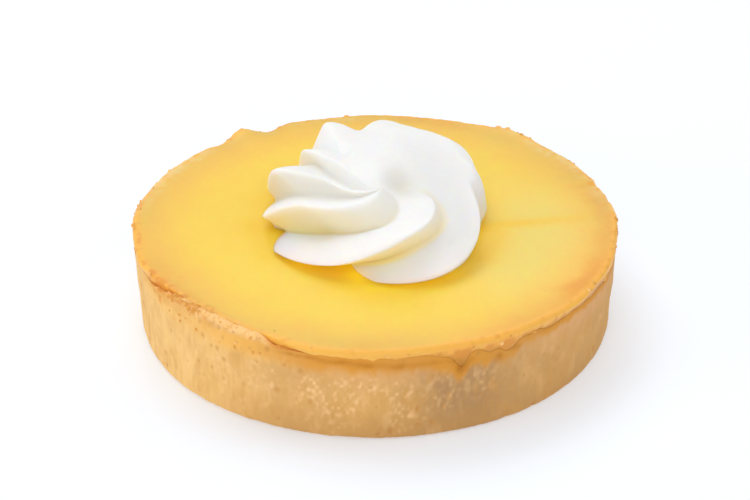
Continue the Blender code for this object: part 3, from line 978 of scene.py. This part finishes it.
pastryLook = {
    "colour": (0.8, 0.445, 0.135),
    "roughness": 0.78,
    "gloss": 0.25,
    "pale": (0.92, 0.58, 0.205),
    "dull": (0.5, 0.28, 0.115),
    # colour of the seep stain and of the painted shade under the lip
    "seepAndShade": (0.75, 0.325, 0.042),
    "speck": (0.95, 0.59, 0.27),
    "pit": (0.62, 0.285, 0.07),
    "tan": (0.71, 0.355, 0.09),
    "rim": (1.0, 0.62, 0.25),
    "honey": (0.93, 0.5, 0.11),
    "toast": (0.72, 0.31, 0.055),
    # colour of the painted contact shade and browner crust at the foot
    "foot": (0.6, 0.32, 0.1),
    "blush": (0.82, 0.43, 0.18),
    "burnt": (0.52, 0.18, 0.01),
    "grainSize": 0.45,
    "grainDepth": 0.1,
}
fillingLook = {
    "colour": (1.0, 0.655, 0.075),
    "roughness": 0.42,
    "gloss": 0.3,
    # colour under the painted reflection
    "pale": (0.86, 0.67, 0.15),
    "gold": (1.0, 0.515, 0.09),
    "amber": (0.88, 0.37, 0.045),
    # colour of the painted shadow lines
    "streak": (0.93, 0.56, 0.02),
    "crust": (1.0, 0.49, 0.085),
    "toast": (0.8, 0.32, 0.045),
    # colour of the painted shade round the foot of the cream
    "shade": (0.96, 0.58, 0.012),
    "fleck": (0.97, 0.58, 0.06),
    "glow": 0.9,
    "glowColour": (1.0, 0.55, 0.08),
    "glowDepth": 4.5,
    "crustGlow": 0.3,
    "bounce": (1.0, 0.74, 0.0),
    "bounceStrength": 0.28,
    "burnt": (0.56, 0.21, 0.02),
    "bleached": (1.0, 0.62, 0.24),
    "grainSize": 1.1,
    "grainDepth": 0.035,
}
crumbLook = {"colour": (0.74, 0.34, 0.06), "light": (1.0, 0.6, 0.22), "roughness": 0.8, "gloss": 0.1}
creamLook = {
    "colour": (0.865, 0.865, 0.86),
    # colours of the painted warm shade and grey shade
    "warmShade": (0.84, 0.72, 0.36),
    "greyShade": (0.73, 0.72, 0.68),
    "bounce": (1.0, 0.79, 0.18),
    "bounceStrength": 0.12,
    "roughness": 0.48,
    "gloss": 0.35,
    "glow": 0.9,
    "glowColour": (1.0, 0.74, 0.42),
    "glowDepth": 3.2,
    "grainSize": 0.8,
    "grainDepth": 0.02,
}


def pastryMaterial():
    look = pastryLook
    material, tree, shader = startMaterial("bakedPastry", look)
    spots = remapped(tree, fineNoise(tree, size=1.4, detail=4.0, upward=0.5), low=0.35, high=0.68)
    clouds = remapped(tree, fineNoise(tree, size=7.0), low=0.3, high=0.7, start=0.05, end=0.28)
    streaks = remapped(tree, fineNoise(tree, size=1.1, upward=0.14), low=0.48, high=0.7, end=0.28)
    darker = remapped(tree, painted(tree, "mottle"), low=-0.1, high=-0.7, end=0.5)
    lighter = remapped(tree, painted(tree, "mottle"), low=0.1, high=0.75, end=0.25)
    pits = remapped(tree, painted(tree, "pit"), low=0.05, high=0.8, end=0.65)
    colour = paintedTints(tree, look["colour"], look, ("pale", "dull"))
    colour = tinted(tree, multiplied(tree, spots, clouds), colour, look["pit"])
    colour = tinted(tree, darker, colour, look["tan"])
    colour = tinted(tree, streaks, colour, look["tan"])
    colour = paintedTints(tree, colour, look, ("foot", "blush", "honey", "speck"))
    colour = tinted(tree, lighter, colour, look["speck"])
    colour = paintedTints(tree, colour, look, ("seepAndShade", "rim", "toast", "burnt"))
    colour = tinted(tree, pits, colour, look["pit"])
    feed(tree, shader, {"Base Color": colour, "Normal": grained(tree, look, detail=4.0)})
    return material


def fillingMaterial():
    look = fillingLook
    material, tree, shader = startMaterial("lemonFilling", look)
    flecks = remapped(tree, fineNoise(tree, size=9.0), low=0.35, high=0.7, end=0.35)
    colour = tinted(tree, flecks, look["colour"], look["fleck"])
    labels = ("pale", "gold", "amber", "crust", "toast", "bleached", "burnt", "shade", "streak")
    feed(tree, shader, {"Base Color": paintedTints(tree, colour, look, labels)})
    # less light passes through the crust
    glow = remapped(tree, painted(tree, "crust"), 0.0, 1.0, look["glow"], look["crustGlow"])
    feed(tree, shader, {"Subsurface Weight": glow, "Normal": grained(tree, look)})
    feed(tree, shader, bouncedLight(tree, look))
    return material


def crumbMaterial():
    material, tree, shader = startMaterial("bakedCrumb", crumbLook)
    colour = tinted(tree, painted(tree, "tone"), crumbLook["colour"], crumbLook["light"])
    feed(tree, shader, {"Base Color": colour})
    return material


def creamMaterial():
    look = creamLook
    material, tree, shader = startMaterial("whippedCream", look)
    colour = paintedTints(tree, look["colour"], look, ("greyShade", "warmShade"))
    feed(tree, shader, {"Base Color": colour, "Normal": grained(tree, look, detail=2.0)})
    feed(tree, shader, bouncedLight(tree, look))
    return material


shellPiece = makeShell()
keepPiece(shellPiece, pastryMaterial(), "pastry_shell")
print("shell made")
fillingPiece = makeFilling()
keepPiece(fillingPiece, fillingMaterial(), "lemon_filling")
print("filling made")
creamPiece = makeCream()
keepPiece(creamPiece, creamMaterial(), "cream_rosette")
print("cream made")
crumbPiece = makeCrumbs({"shell": shellPiece, "filling": fillingPiece})
keepPiece(crumbPiece, crumbMaterial())
print("crumbs made")

# Studio: pale floor, even sky, six soft round lights and the camera
studio = {
    "sky": 0.4,
    "floorReach": 3.0,
    "floorDrop": 0.0001,  # keeps the floor clear of the underside
    "floorGlow": 0.36,
    "lightDistance": 1.05,
    # angle round the tart, angle above the floor, size in metres, power in watts
    "lights": (
        (130, 60, 0.7, 2.65),
        (205, 14, 0.7, 2.95),
        (150, 84, 0.9, 1.15),
        (85, 45, 0.7, 1.8),
        (0, 40, 0.7, 1.5),
        (270, 35, 0.7, 2.45),
    ),
}
floorLook = {"colour": (0.61, 0.66, 0.74), "roughness": 0.9, "gloss": 0.1}
view = {
    "distance": 0.9,
    "elevation": 29.92,
    "aim": (0.0, 0.0, 0.01),
    "lens": 208.7,
    "sensor": 36.0,
    "nearest": 0.01,
    "imageWidth": 750,
    "shiftPixels": 24.9,
}
white = (1.0, 1.0, 1.0, 1.0)


def makeFloor():
    reach = studio["floorReach"]
    corners = [(-reach, -reach, 0), (reach, -reach, 0), (reach, reach, 0), (-reach, reach, 0)]
    mesh = bpy.data.meshes.new("floor")
    mesh.from_pydata(corners, [], [(0, 1, 2, 3)])
    material, tree, shader = startMaterial("paleFloor", floorLook)
    feed(tree, shader, {"Emission Color": white, "Emission Strength": studio["floorGlow"]})
    mesh.materials.append(material)
    floor = linked("floor", mesh)
    floor.location.z = -studio["floorDrop"]


def makeSky():
    world = bpy.data.worlds.new("evenSky")
    world.use_nodes = True
    tree = world.node_tree
    feed(tree, tree.nodes["Background"], {"Color": white, "Strength": studio["sky"]})
    bpy.context.scene.world = world


def lookBack(thing, aim, away, distance):
    # stands at this distance from the aim and faces it
    thing.location = Vector(aim) + away * distance
    thing.rotation_euler = (-away).to_track_quat("-Z", "Y").to_euler()


def makeLights():
    for number, (turn, lift, size, power) in enumerate(studio["lights"]):
        lamp = bpy.data.lights.new("softLight%d" % number, "AREA")
        lamp.shape = "DISK"
        lamp.size = size
        lamp.energy = power
        turn, lift = math.radians(turn), math.radians(lift)
        away = Vector((math.cos(lift) * math.cos(turn), math.cos(lift) * math.sin(turn), math.sin(lift)))
        lookBack(linked(lamp.name, lamp), (0.0, 0.0, 0.0), away, studio["lightDistance"])


def makeCamera():
    cameraData = bpy.data.cameras.new("camera")
    cameraData.lens = view["lens"]
    cameraData.sensor_width = view["sensor"]
    cameraData.clip_start = view["nearest"]
    cameraData.shift_y = view["shiftPixels"] / view["imageWidth"]
    camera = linked("camera", cameraData)
    lift = math.radians(view["elevation"])
    lookBack(camera, view["aim"], Vector((0.0, -math.cos(lift), math.sin(lift))), view["distance"])
    bpy.context.scene.camera = camera


makeFloor()
makeSky()
makeLights()
makeCamera()
bpy.context.scene.view_settings.view_transform = "Standard"
print("studio made")
